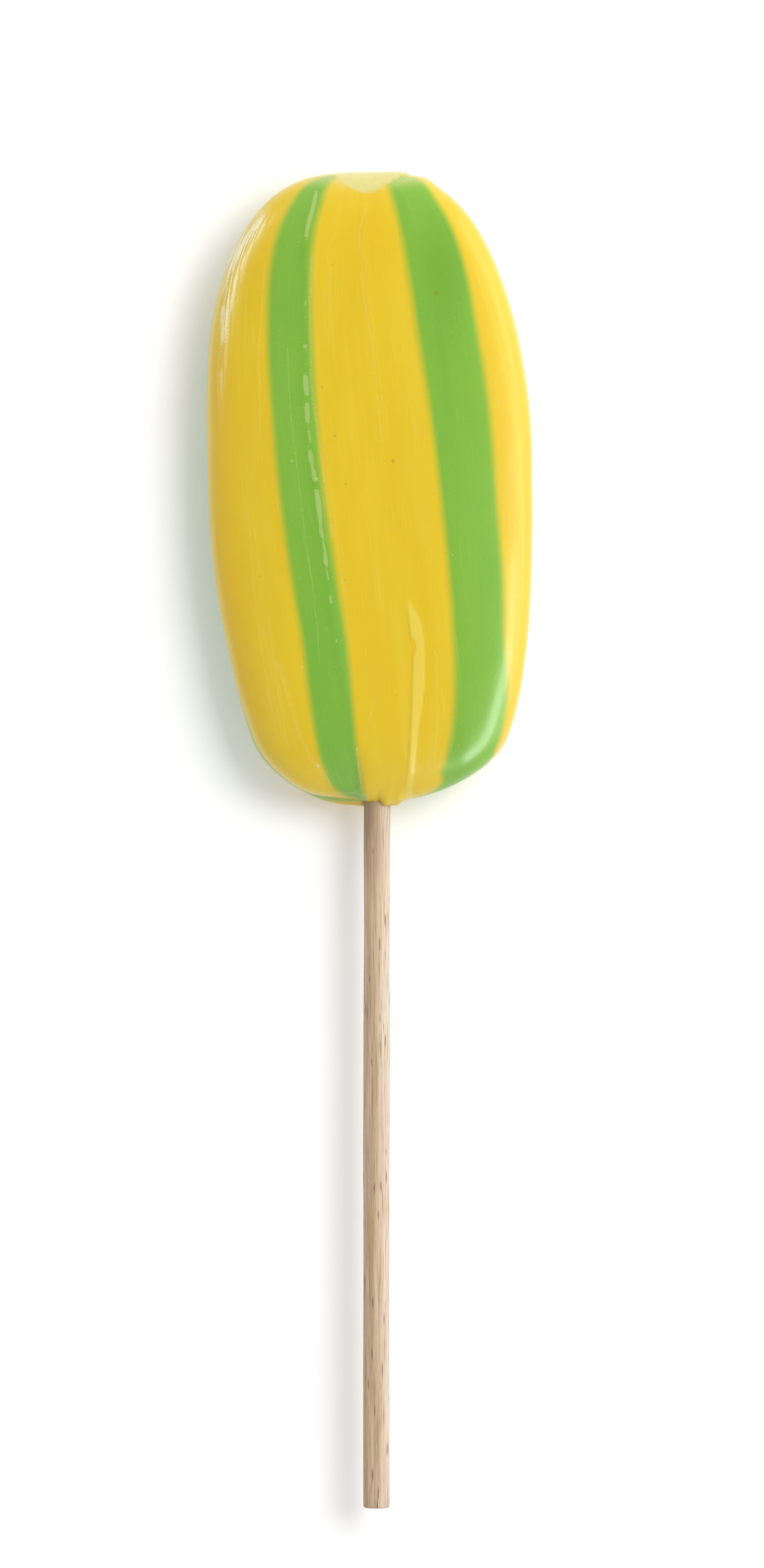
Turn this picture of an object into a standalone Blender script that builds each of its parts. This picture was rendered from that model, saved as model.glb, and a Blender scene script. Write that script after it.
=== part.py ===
"""Striped oval lollipop, lying on its flattened back.

The candy is a pulled pale core in a yellow jacket, with five green strips inlaid in the jacket.
The rope of candy was cut across at the top, where the core shows, twisted a little, and pressed flat
round a beech dowel.
+Y runs from the stick to the candy's top, +Z is up, and the origin is on the flat back.
"""

import math

import bmesh
import bpy
import numpy as np
from mathutils import Matrix, Vector

MM = 0.001

# Candy: an upright oval, wider at different heights on its two sides.
HALF_LENGTH = 54.4 * MM
HALF_WIDTH = 28.2 * MM
HALF_THICKNESS = 8.8 * MM
BACK_PRESSED_OFF = 0.8 * MM
CENTRE_X = -1.15 * MM
CENTRE_Z = HALF_THICKNESS - BACK_PRESSED_OFF
SECTION_POWER = 3.2
LEFT_REACH = 28.4 * MM
LEFT_WIDEST = 16.0 * MM
RIGHT_REACH = 28.1 * MM
RIGHT_WIDEST = 4.1 * MM
# Each quarter of the outline: how long it stays full, and how square its corner is.
LEFT_ABOVE = (2.10, 2.9)
LEFT_BELOW = (2.40, 3.1)
RIGHT_ABOVE = (1.84, 2.7)
RIGHT_BELOW = (5.10, 2.2)
LENGTHWISE = (8.0, 2.2)
# Where the outline is fuller or slimmer than that: height, reach along the candy, and by what share.
SWELLS = ((-46.8 * MM, 5.0 * MM, 0.042), (-28.0 * MM, 9.0 * MM, -0.014))

# What the candy is made of.
JACKET_THICKNESS = 2.4 * MM
STRIP_DEPTH = 1.3 * MM
GAP = 0.3 * MM
OUTSIDE = -1.0 * MM

# The green strips: the angles of their left and right edges round the section, in degrees from the middle
# of the front, at eight levels from bottom to top, and the levels the strip ends at.
STRIP_LEVELS = (-0.98, -0.91, -0.84, -0.5, 0.0, 0.5, 0.9, 0.98)
STRIPS = (
    (
        (-30, -26, -25, -25.5, -30.5, -34.5, -40, -45),
        (-6.5, -6.5, -7, -9.5, -16.5, -20.5, -25, -30),
        (-0.97, 0.98),
    ),
    (
        (58, 36, 32.5, 29, 23.5, 17.5, 14.5, 15),
        (95, 86, 60, 48, 42, 39, 41.5, 47),
        (-0.97, 0.98),
    ),
    (
        (-115, -121, -124, -131, -136, -140, -149, -154),
        (-80, -73, -74, -86, -98, -117, -133, -138),
        (-0.975, 0.97),
    ),
    (
        (181, 179, 178, 173, 169, 163, 156, 154),
        (198, 196, 195, 188, 183, 178, 177, 176),
        (-0.96, 0.97),
    ),
    (
        (134, 131, 130, 125, 113, 101, 96, 94),
        (158, 156, 155, 151, 143, 131, 124, 122),
        (-0.97, 0.97),
    ),
)
STRIP_EASING = 0.12

# The cut end: a shallow V, open towards the top, above which the pale core shows.
TIP_X = -1.6 * MM
TIP_APEX = 49.8 * MM
TIP_SLOPE = 0.56
TIP_PROUD = 0.2 * MM

# Stick: a plain beech dowel, very slightly bent.
STICK_RADIUS = 2.25 * MM
STICK_LENGTH = 180 * MM
STICK_FREE_END = -176.3 * MM
STICK_BEND = 0.5 * MM
STICK_OFFSET = -0.1 * MM
STICK_EDGE = 0.35 * MM
STICK_SIDES = 30
STICK_RINGS = 8

# Relief: the fold in the jacket, the edge of the back layer and the lips squeezed out round the stick.
FOLD_ROUTE = (
    (4.3, -17.0),
    (5.6, -22.0),
    (6.9, -27.5),
    (7.2, -33.0),
    (6.4, -41.0),
    (5.6, -47.0),
    (5.2, -51.0),
)
FOLD_RADIUS = 1.2 * MM
FOLD_SUNK = 0.8 * MM
# The ledge's middle line: across, along and above the stick's axis, then its radius.
LEDGE = (
    (-14.5, -50.4, -1.4, 0.7),
    (-11.0, -51.7, -1.7, 1.2),
    (-7.5, -52.6, -2.0, 1.4),
    (-4.5, -53.1, -2.2, 1.4),
    (-2.2, -53.4, -2.6, 1.2),
)
# Each lip: centre across, along and above the stick's axis, then its three half-sizes.
LIPS = (
    (-4.2, -52.9, 2.0, 2.6, 1.0, 1.0),
    (-1.0, -53.0, 2.7, 1.7, 1.3, 1.1),
    (2.5, -53.1, 2.5, 2.3, 1.9, 1.4),
    (4.4, -52.9, 0.6, 2.2, 1.6, 2.2),
    (-3.4, -52.9, -0.4, 1.9, 1.5, 1.9),
    (2.2, -52.9, -2.4, 2.6, 1.4, 1.4),
)
DENT_PLACE = (5.4, -27.3)
DENT_SIZE = (0.75, 1.9, 0.8)

# How finely the candy is divided.
ROUND_THE_CANDY = 56
DOWN_THE_CANDY = 36
ROUND_THE_CORE = 24
DOWN_THE_CORE = 16
ACROSS_A_STRIP = 4
DOWN_A_STRIP = 26
END_CROWDING = 1.5

YELLOW = (0.78, 0.53, 0.03)
GREEN = (0.25, 0.48, 0.055)
PALE = (0.88, 0.79, 0.37)
BEECH = (0.62, 0.45, 0.29)


def clear_scene():
    for obj in list(bpy.data.objects):
        bpy.data.objects.remove(obj)


def new_collection(name):
    collection = bpy.data.collections.new(name)
    bpy.context.scene.collection.children.link(collection)
    return collection


def material(name, colour, roughness):
    made = bpy.data.materials.new(name)
    made.use_nodes = True
    shader = made.node_tree.nodes["Principled BSDF"]
    shader.inputs["Base Color"].default_value = (*colour, 1)
    shader.inputs["Roughness"].default_value = roughness
    shader.inputs["Metallic"].default_value = 0
    return made


def add_object(name, bm, collection, surface=None):
    """The object made from this bmesh. Without a surface it is a helper, which isn't rendered."""
    bmesh.ops.recalc_face_normals(bm, faces=bm.faces)
    if bm.calc_volume(signed=True) < 0:
        bmesh.ops.reverse_faces(bm, faces=bm.faces)
    mesh = bpy.data.meshes.new(name)
    bm.to_mesh(mesh)
    bm.free()
    obj = bpy.data.objects.new(name, mesh)
    collection.objects.link(obj)
    if surface is None:
        obj.hide_render = True
        obj.display_type = "WIRE"
    else:
        mesh.materials.append(surface)
        mesh.shade_smooth()
        mesh.set_sharp_from_angle(angle=math.radians(40))
    return obj


def boolean(obj, operation, other):
    """Adds a Boolean with one object, or with every object of a collection."""
    modifier = obj.modifiers.new(operation.title(), "BOOLEAN")
    modifier.operation = operation
    modifier.solver = "EXACT"
    if isinstance(other, bpy.types.Collection):
        modifier.operand_type = "COLLECTION"
        modifier.collection = other
    else:
        modifier.object = other


def fuse(obj, collection):
    """Joins everything in the collection to the object for good, and removes the collection's objects."""
    boolean(obj, "UNION", collection)
    bpy.context.view_layer.update()
    graph = bpy.context.evaluated_depsgraph_get()
    joined = bpy.data.meshes.new_from_object(obj.evaluated_get(graph))
    obj.modifiers.clear()
    obj.data = joined
    for part in list(collection.objects):
        bpy.data.objects.remove(part)


# The form of the candy.


def quarter(share, shape):
    """How far the outline still reaches at this share of the way from its widest level to its end."""
    fullness, corner = shape
    return (1 - min(share, 1) ** fullness) ** (1 / corner)


def half_width(right_side, y):
    reach, widest, above, below = (
        (RIGHT_REACH, RIGHT_WIDEST, RIGHT_ABOVE, RIGHT_BELOW)
        if right_side
        else (LEFT_REACH, LEFT_WIDEST, LEFT_ABOVE, LEFT_BELOW)
    )
    for height, length, share in SWELLS:
        reach *= 1 + share * math.exp(-(((y - height) / length) ** 2))
    if y > widest:
        return reach * quarter((y - widest) / (HALF_LENGTH - widest), above)
    return reach * quarter((widest - y) / (HALF_LENGTH + widest), below)


def half_thickness(level):
    return HALF_THICKNESS * quarter(abs(level), LENGTHWISE)


def candy_point(turn, level, depth=0.0):
    """A point under the candy's surface, at a turn round its section from the middle of the front.

    The level goes from -1 at the stick to 1 at the top. A depth below zero is outside, where the back isn't
    pressed.
    """
    across, up = math.sin(turn), math.cos(turn)
    spread = (abs(across) ** SECTION_POWER + abs(up) ** SECTION_POWER) ** (-1 / SECTION_POWER)
    y = level * HALF_LENGTH
    x = half_width(across > 0, y) * across * spread
    z = half_thickness(level) * up * spread
    x = CENTRE_X + x * (1 - depth / HALF_WIDTH)
    y = y * (1 - depth / HALF_LENGTH)
    z = CENTRE_Z + z * (1 - depth / HALF_THICKNESS)
    return Vector((x, y, z if depth < 0 else max(z, 0)))


def front_height(x, y):
    """The height of the candy's front over a point of its outline."""
    from_middle = x - CENTRE_X
    share = abs(from_middle) / half_width(from_middle > 0, y)
    return CENTRE_Z + half_thickness(y / HALF_LENGTH) * (1 - share**SECTION_POWER) ** (1 / SECTION_POWER)


def crowded(share):
    """Moves even steps from -1 to 1 closer together at both ends, where the outline turns fast."""
    return math.copysign(1 - (1 - min(abs(share), 1)) ** END_CROWDING, share)


def candy_ball(around, down, depth):
    """A sphere, each point of it moved to the candy's form."""
    bm = bmesh.new()
    bmesh.ops.create_uvsphere(bm, u_segments=around, v_segments=down, radius=1)
    for vertex in bm.verts:
        turn = math.atan2(vertex.co.x, vertex.co.y)
        vertex.co = candy_point(turn, crowded(vertex.co.z), depth)
    return bm


def edge_turn(edge, level):
    """Where a strip's edge is at this level: through its listed angles, with the corners eased."""
    nearby = level + np.linspace(-STRIP_EASING, STRIP_EASING, 9) * (1 - abs(level))
    return math.radians(np.interp(nearby, STRIP_LEVELS, edge).mean())


def strip_slab(strip, outer, inner, margin):
    """A flat slab, bent to lie along the candy between a strip's two edges, a margin wider on each side."""
    left_edge, right_edge, (lowest, highest) = strip
    bm = bmesh.new()
    bmesh.ops.create_grid(bm, x_segments=ACROSS_A_STRIP, y_segments=DOWN_A_STRIP, size=1)
    bmesh.ops.solidify(bm, geom=bm.faces[:], thickness=1)
    bottom = min(vertex.co.z for vertex in bm.verts)
    for vertex in bm.verts:
        reach = crowded(vertex.co.y)
        level = reach * ((highest if reach > 0 else -lowest) + margin / HALF_LENGTH)
        share = (vertex.co.x + 1) / 2
        left, right = edge_turn(left_edge, level), edge_turn(right_edge, level)
        width = (candy_point(right, level) - candy_point(left, level)).length
        spare = (right - left) * margin / width
        turn = left - spare + (right - left + 2 * spare) * share
        depth = inner if vertex.co.z - bottom < 0.5 else outer
        vertex.co = candy_point(turn, level, depth)
    return bm


# The stick.


def stick_x(y):
    """Where the stick's axis is at this height: its candy end is bent a little to the right."""
    share = (y - STICK_FREE_END) / STICK_LENGTH
    return STICK_OFFSET + STICK_BEND * share**3


def dowel(radius, free_end, candy_end, edge=0.0):
    """A round rod along Y, bent as the stick is. An edge above zero rounds its ends off."""
    length = candy_end - free_end
    bm = bmesh.new()
    bmesh.ops.create_cone(
        bm, cap_ends=True, segments=STICK_SIDES, radius1=radius, radius2=radius, depth=length
    )
    if edge > 0:
        rims = [e for e in bm.edges if len(e.link_faces) == 2 and any(len(f.verts) > 4 for f in e.link_faces)]
        bmesh.ops.bevel(bm, geom=rims, offset=edge, segments=2, profile=0.5, affect="EDGES")
    for ring in range(1, STICK_RINGS):
        height = length * (ring / STICK_RINGS - 0.5)
        bmesh.ops.bisect_plane(
            bm, geom=bm.verts[:] + bm.edges[:] + bm.faces[:], plane_co=(0, 0, height), plane_no=(0, 0, 1)
        )
    lying = Matrix.Translation((0, free_end + length / 2, CENTRE_Z)) @ Matrix.Rotation(-math.pi / 2, 4, "X")
    bm.transform(lying)
    for vertex in bm.verts:
        vertex.co.x += stick_x(vertex.co.y)
    return bm


# The cut end.


def tip_wedge(lowered):
    """A three-sided prism with its lowest edge at the V's apex, so that it holds all that is above the V."""
    radius = HALF_WIDTH
    squash = TIP_SLOPE / math.sqrt(3)
    bm = bmesh.new()
    bmesh.ops.create_cone(
        bm, cap_ends=True, segments=3, radius1=radius, radius2=radius, depth=4 * HALF_THICKNESS
    )
    lowest = min(bm.verts, key=lambda vertex: abs(vertex.co.x))
    if lowest.co.y > 0:
        bm.transform(Matrix.Rotation(math.pi, 4, "Z"))
    apex = TIP_APEX - lowered
    bm.transform(
        Matrix.Translation((TIP_X, apex + radius * squash, CENTRE_Z)) @ Matrix.Diagonal((1, squash, 1, 1))
    )
    return bm


# Relief on the jacket.


def tapered_tube(name, points, radii, collection):
    """A round bar along the points, its radius changing on the way, as a mesh with its caps welded."""
    curve = bpy.data.curves.new(name, "CURVE")
    curve.dimensions = "3D"
    curve.bevel_depth = 1
    curve.bevel_resolution = 2
    curve.use_fill_caps = True
    curve.resolution_u = 3
    spline = curve.splines.new("NURBS")
    spline.points.add(len(points) - 1)
    spline.use_endpoint_u = True
    spline.order_u = 4
    for point, place, radius in zip(spline.points, points, radii):
        point.co = (*place, 1)
        point.radius = radius
    guide = bpy.data.objects.new(name + "_guide", curve)
    collection.objects.link(guide)
    bpy.context.view_layer.update()
    graph = bpy.context.evaluated_depsgraph_get()
    bm = bmesh.new()
    bm.from_mesh(bpy.data.meshes.new_from_object(guide.evaluated_get(graph)))
    bmesh.ops.remove_doubles(bm, verts=bm.verts, dist=0.01 * MM)
    bpy.data.objects.remove(guide)
    return add_object(name, bm, collection)


def add_fold(collection):
    """The fold low on the front: a ridge that starts thin, swells and dies away at the stick."""
    points, radii = [], []
    for step, (x, y) in enumerate(FOLD_ROUTE):
        swell = math.sin(math.pi * (step + 0.6) / (len(FOLD_ROUTE) + 0.4)) ** 0.5
        points.append(Vector((x * MM, y * MM, front_height(x * MM, y * MM) - FOLD_SUNK)))
        radii.append(FOLD_RADIUS * swell)
    tapered_tube("fold", points, radii, collection)


def add_ledge(collection):
    """The back layer's edge, which shows below the front layer at the bottom left."""
    points = [Vector((x * MM, y * MM, CENTRE_Z + above * MM)) for x, y, above, _ in LEDGE]
    tapered_tube("ledge", points, [radius * MM for *_, radius in LEDGE], collection)


def squashed_ball(name, centre, half_sizes, collection):
    bm = bmesh.new()
    bmesh.ops.create_icosphere(bm, subdivisions=2, radius=1)
    bm.transform(Matrix.Translation(centre) @ Matrix.Diagonal((*half_sizes, 1)))
    return add_object(name, bm, collection)


def add_lips(collection):
    """The lumps of candy that were squeezed out round the stick."""
    for number, (x, y, above, *half_sizes) in enumerate(LIPS, 1):
        centre = Vector((x * MM, y * MM, CENTRE_Z + above * MM))
        squashed_ball(f"lip_{number}", centre, [size * MM for size in half_sizes], collection)


def add_dent(collection):
    """The small hollow beside the fold."""
    x, y = (place * MM for place in DENT_PLACE)
    centre = Vector((x, y, front_height(x, y) + 0.3 * MM))
    squashed_ball("dent", centre, [size * MM for size in DENT_SIZE], collection)


# The pieces.


def build_jacket(parts, cutters, relief, yellow):
    jacket = add_object("candy_jacket", candy_ball(ROUND_THE_CANDY, DOWN_THE_CANDY, 0), parts, yellow)
    add_fold(relief)
    add_ledge(relief)
    add_lips(relief)
    fuse(jacket, relief)
    add_dent(cutters)
    boolean(jacket, "DIFFERENCE", cutters)
    return jacket


def build_strips(parts, cutters, green):
    """The strips in their grooves, cut off where the pale core shows."""
    opening = bpy.data.objects["tip_opening"]
    for number, strip in enumerate(STRIPS, 1):
        piece = add_object(f"green_strip_{number}", strip_slab(strip, 0, STRIP_DEPTH, 0), parts, green)
        boolean(piece, "DIFFERENCE", opening)
        groove = strip_slab(strip, OUTSIDE, STRIP_DEPTH + GAP, GAP)
        add_object(f"groove_{number}", groove, cutters)


def build_core(parts, cutters, helpers, pale):
    core = add_object("pale_core", candy_ball(ROUND_THE_CORE, DOWN_THE_CORE, JACKET_THICKNESS), parts, pale)
    hollow = candy_ball(ROUND_THE_CORE, DOWN_THE_CORE, JACKET_THICKNESS - GAP)
    add_object("core_hollow", hollow, cutters)
    add_object("tip_opening", tip_wedge(GAP), cutters)
    tip = add_object("tip_form", candy_ball(ROUND_THE_CANDY, DOWN_THE_CANDY, -TIP_PROUD), helpers)
    boolean(tip, "INTERSECT", add_object("tip_wedge", tip_wedge(0), helpers))
    boolean(core, "UNION", tip)
    return core


def build_stick(parts, cutters, beech):
    candy_end = STICK_FREE_END + STICK_LENGTH
    stick = dowel(STICK_RADIUS, STICK_FREE_END, candy_end, STICK_EDGE)
    add_object("stick", stick, parts, beech)
    bore = dowel(STICK_RADIUS + GAP, -HALF_LENGTH * 1.2, candy_end + GAP)
    return add_object("stick_bore", bore, cutters)


def main():
    clear_scene()
    parts = new_collection("striped_lollipop")
    cutters = new_collection("cutters")
    relief = new_collection("relief")
    helpers = new_collection("helpers")
    yellow = material("yellow_candy", YELLOW, 0.25)
    green = material("green_candy", GREEN, 0.25)
    pale = material("pale_candy", PALE, 0.4)
    beech = material("beech_wood", BEECH, 0.65)
    bore = build_stick(parts, cutters, beech)
    core = build_core(parts, cutters, helpers, pale)
    boolean(core, "DIFFERENCE", bore)
    build_strips(parts, cutters, green)
    build_jacket(parts, cutters, relief, yellow)


main()
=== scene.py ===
"""The looks of a striped oval lollipop that lies on its flat back, seen from straight above.

The candy's layers are shown as one fused skin: a grid of points round the candy's form, raised by its
folds, lips and pulled grain, and coloured by how far each point is from the edges of the green strips.
Lengths are in millimetres until a mesh or a light is made.
"""

import math

import bmesh
import bpy
import numpy as np
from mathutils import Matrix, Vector


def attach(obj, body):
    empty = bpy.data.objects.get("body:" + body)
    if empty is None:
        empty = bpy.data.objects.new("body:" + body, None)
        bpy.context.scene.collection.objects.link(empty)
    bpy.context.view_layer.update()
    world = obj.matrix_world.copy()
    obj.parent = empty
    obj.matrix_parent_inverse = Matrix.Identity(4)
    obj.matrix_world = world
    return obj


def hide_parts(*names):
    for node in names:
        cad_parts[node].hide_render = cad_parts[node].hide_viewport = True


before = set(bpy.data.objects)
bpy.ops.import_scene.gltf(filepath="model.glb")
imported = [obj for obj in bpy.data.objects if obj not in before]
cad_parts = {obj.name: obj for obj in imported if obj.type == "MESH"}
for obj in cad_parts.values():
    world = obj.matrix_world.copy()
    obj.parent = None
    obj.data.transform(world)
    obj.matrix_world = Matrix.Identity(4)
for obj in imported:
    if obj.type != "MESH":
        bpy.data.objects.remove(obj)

MM = 0.001

# The candy's form, as in the solids.
HALF_LENGTH = 54.4
HALF_THICKNESS = 8.8
CENTRE_X = -1.15
CENTRE_Z = 8.0
SECTION_POWER = 3.2
LEFT_REACH, LEFT_WIDEST = 28.4, 16.0
RIGHT_REACH, RIGHT_WIDEST = 28.1, 4.1
LEFT_ABOVE, LEFT_BELOW = (2.10, 2.9), (2.40, 3.1)
RIGHT_ABOVE, RIGHT_BELOW = (1.84, 2.7), (5.10, 2.2)
LENGTHWISE = (8.0, 2.2)
# Where the outline is fuller or slimmer than that: height, reach along the candy, and by what share.
SWELLS = ((-46.8, 5.0, 0.042), (-28.0, 9.0, -0.014))
BACK_EDGE_ROUNDING = 0.3

# How finely the skin is divided, and how much finer on its front than on its back.
ROUND_THE_SKIN = 500
DOWN_THE_SKIN = 190
FRONT_FINER = 0.45

# The green strips: angles of both edges round the section, at levels from the stick (-1) to the top (1).
STRIP_LEVELS = (-0.98, -0.91, -0.84, -0.5, 0.0, 0.5, 0.9, 0.98)
STRIPS = (
    ((-115, -121, -124, -131, -136, -140, -149, -154), (-80, -73, -74, -86, -98, -117, -133, -138)),
    ((-30, -26, -25, -25.5, -30.5, -34.5, -40, -45), (-6.5, -6.5, -7, -9.5, -16.5, -20.5, -25, -30)),
    ((58, 36, 32.5, 29, 23.5, 17.5, 14.5, 15), (95, 86, 60, 48, 42, 39, 41.5, 47)),
    ((134, 131, 130, 125, 113, 101, 96, 94), (158, 156, 155, 151, 143, 131, 124, 122)),
    ((181, 179, 178, 173, 169, 163, 156, 154), (198, 196, 195, 188, 183, 178, 177, 176)),
)
STRIP_EASING = 0.12
# Their edges are soft over these distances and waver by this much.
STRIP_SOFT, STRIP_WAVER = (-1.05, 0.85), 0.7
GIRTH = 140.0

# The cut end: the pale core shows above this edge.
TIP_EDGE = (
    (-9.8, 54.1), (-7.0, 53.7), (-6.2, 52.5), (-4.9, 51.5), (-3.4, 50.9), (-1.2, 50.2),
    (-0.3, 50.4), (0.6, 51.2), (1.7, 51.9), (3.1, 52.8), (5.0, 53.6), (6.4, 54.4),
)
# A painted highlight on the layers beside the core, at the top end: how far from it, from which height to
# which, and how much.
TIP_HIGHLIGHT_REACH, TIP_HIGHLIGHT_FROM, TIP_HIGHLIGHT_TO = 5.0, 50.2, 53.0
TIP_HIGHLIGHT_SHARE = 0.42
# The cut end stands proud of the candy on its right, behind a groove.
TIP_STEP, TIP_GROOVE = 0.3, 0.04
# The kink at the top right: its height, where it is, and its reach across.
KINK, KINK_X, KINK_REACH = 0.45, 8.4, 1.7

# Lines along the front, as (x, y) from the stick's end upwards.
CREST = (
    (-4.6, -42.4), (-7.9, -19.5), (-8.75, -13.0), (-9.35, -9.1), (-10.45, -0.4), (-11.0, 2.5), (-11.4, 5.4),
    (-11.9, 12.6), (-12.2, 17.2), (-12.3, 27.3), (-12.3, 42.3), (-10.3, 50.6),
)
# Where along the crest its edge is chipped flat, the chips painted pale as highlights: from and to, in y, and
# half the chip's width.
CHIPS = (
    (42.1, 51.0, 0.38), (36.6, 37.4, 0.12), (30.6, 31.9, 0.14), (25.4, 26.2, 0.26), (23.3, 24.4, 0.32),
    (15.0, 19.5, 0.44), (10.5, 14.7, 0.40), (7.0, 9.8, 0.18), (3.3, 6.1, 0.40), (0.1, 3.1, 0.36),
    (-6.4, -0.2, 0.44), (-9.5, -6.7, 0.32), (-11.3, -9.7, 0.20), (-13.9, -11.5, 0.36), (-16.8, -14.2, 0.15),
    (-20.8, -18.5, 0.24), (-24.0, -23.2, 0.12), (-27.6, -26.0, 0.14),
)
CHIP_LEAN = 0.08
CREST_HEIGHT, CHIP_DEPTH = 0.10, 0.05
SEAM = ((0.9, 7.3), (-0.7, 23.6), (-2.2, 32.4), (-3.0, 43.4), (-1.7, 48.6))
SEAM_HEIGHT, SEAM_GROOVE = 0.04, 0.03
# Fine lines: half width, how much paler they are (below zero: how much more golden), and route.
LINES = (
    (0.20, 0.14, SEAM),
    (0.15, 0.10, ((-8.2, 24.0), (-8.2, 37.0), (-8.8, 40.1))),
    (0.15, 0.12, ((-8.8, 40.1), (-7.0, 43.4))),
    (0.30, 0.14, ((-7.6, -9.0), (-8.9, 0.0), (-10.0, 8.0), (-11.3, 17.0), (-11.5, 30.0), (-11.2, 40.0))),
    (0.10, 0.16, (
        (-9.8, -31.0), (-10.3, -24.0), (-11.1, -16.7), (-12.1, -10.6), (-13.6, 2.0), (-14.9, 12.7),
        (-15.4, 24.0),
    )),
    (0.10, 0.14, ((-8.3, -15.2), (-9.1, -9.0), (-10.2, -1.0))),
    (0.16, -0.35, ((-19.0, -35.6), (-19.6, -29.5), (-20.8, -22.0))),
    (0.25, 0.10, ((-17.0, -44.0), (-19.0, -34.0), (-21.0, -20.0), (-22.2, -4.0))),
    (0.20, 0.10, ((-15.2, -46.0), (-17.2, -34.0), (-18.8, -22.0))),
    (0.20, 0.10, ((-20.0, 8.0), (-20.4, 22.0), (-19.3, 38.0))),
    (0.20, 0.30, ((-2.6, -52.6), (-3.5, -44.6))),
    (0.15, 0.25, ((-7.9, -52.3), (-9.0, -49.6))),
    (0.55, 0.10, ((-9.4, -50.1), (-13.2, -43.5), (-17.0, -30.0))),
    (0.14, 0.12, ((-2.2, -44.2), (-2.0, -41.9), (-1.0, -39.0), (0.0, -36.0))),
    (0.30, 0.10, ((9.8, -50.0), (10.4, -40.0), (10.2, -28.0))),
    (0.20, 0.08, ((8.6, -50.0), (9.2, -43.0))),
    (0.35, -0.30, ((0.9, 51.2), (2.75, 51.6), (6.05, 52.9))),
)
# The front layer's rim above the stick, as a line across: its height, ends, half width, and how pale it is.
RIM_LINE, RIM_LINE_ENDS, RIM_LINE_HALF, RIM_LINE_PALE = -53.35, (-7.2, -1.7), 0.12, 0.3
# The folded-over flap, painted pale as a highlight: its edges, its height at the left one, and how much lower
# it is at the right one.
FOLD_LEFT = (
    (5.0, -53.5), (5.3, -49.9), (5.7, -44.0), (6.0, -37.8), (6.2, -30.1), (5.7, -25.1), (5.35, -22.0),
    (5.2, -19.0),
)
FOLD_RIGHT = (
    (6.2, -53.5), (6.5, -47.9), (7.3, -40.3), (8.0, -36.5), (8.3, -31.0), (8.1, -25.8), (7.4, -22.8),
    (5.2, -19.0),
)
FOLD_HEIGHT, FOLD_TILT = 0.16, 0.12
# The nick at the flap's left edge, painted amber as the shade in it, and a golden half loop above the stick.
NICK, NICK_SIZE, NICK_DEPTH = (5.75, -27.9), (1.1, 2.0), 0.15
LOOP, LOOP_RADIUS, LOOP_HALF, LOOP_PALE = (1.7, -50.0), 0.95, 0.2, -0.35
# The dry sugar bloom, whose streaks are also painted near-white as glints: its route along the left shoulder,
# and its roughness.
FROST = (
    (-27.4, 2.0), (-27.0, 15.0), (-26.6, 22.0), (-25.9, 32.0), (-24.8, 38.5), (-23.0, 42.6), (-19.6, 46.3),
)
FROST_RELIEF = 0.015
# The pulled sugar's unevenness: depth, wavelength, how much the waves are stretched along, and seed.
PULL_WAVES = ((0.09, 16, 1.0, 1), (0.025, 4.0, 0.12, 2))
# The layers' ends at the bottom left: how far the back one stands out and the front one is drawn back.
LEDGE_OUT, RIM_BACK = 0.75, 0.6
# The small crease above the stick: its place, its half sizes, and its depth.
CREASE, CREASE_SIZE, CREASE_DEPTH = (3.0, -53.3), (1.0, 0.35), 0.25
# Bubbles and specks under the surface: x, y, radius, and how dark.
SPOTS = (
    (10.3, 33.1, 0.60, 0.9), (2.8, 4.2, 0.50, 0.9), (-7.5, 37.9, 0.22, 0.6), (-10.8, 0.4, 0.55, 0.8),
    (-5.4, -16.3, 0.35, 0.5), (-7.2, 8.5, 0.45, 0.7), (19.9, 17.8, 0.30, 0.4), (7.9, 26.3, 0.28, 0.8),
    (-9.4, 16.9, 0.30, 0.7), (9.5, -24.4, 0.22, 0.9), (10.5, -28.6, 0.35, 0.3), (-20.0, -15.6, 0.28, 0.5),
    (3.5, -36.0, 0.35, 0.3), (-5.3, 0.2, 0.35, 0.5), (-10.2, -48.2, 0.50, -0.7), (-14.6, 4.1, 0.40, -0.5),
    (-12.9, -31.3, 0.30, -0.6), (15.6, 7.0, 0.25, 0.5), (13.0, -12.0, 0.25, -0.4), (-10.4, 1.1, 0.35, -0.8),
)
# A band of painted shade down the left flank: the turn it is centred on and its reach, in degrees.
LEFT_SHADE_TURN, LEFT_SHADE_REACH = -53, 9
# Other patches of deeper colour: middle (x, y), reach across and along, and share; the last, at the top
# right, is painted shade.
DEEP_AND_SHADED_PATCHES = (
    (-1.5, 43.0, 4.5, 8.0, 0.6), (1.5, -38.0, 5.0, 12.0, 0.22), (-20.0, -34.0, 4.0, 9.0, 0.25),
    (12.0, 39.0, 4.0, 11.0, 0.9),
)

# The stick.
STICK_RADIUS = 2.25
STICK_LENGTH = 180.0
STICK_FREE_END = -176.3
STICK_BEND = 0.5
STICK_OFFSET = -0.1
STICK_EDGE = 0.4
STICK_SIDES, STICK_RINGS = 72, 150
FACE_RINGS, EDGE_RINGS = 3, 4
# Painted shade on the wood below the candy: from nothing to full, along the stick.
PAINTED_SHADE_FROM, PAINTED_SHADE_TO = -74.0, -56.0

# The photograph's frame, at the height of the candy's middle.
VIEW_CENTRE = (0.88, -51.3)
VIEW_HEIGHT = 270.8
CAMERA_ABOVE = 1500.0
SENSOR = 36.0

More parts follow.
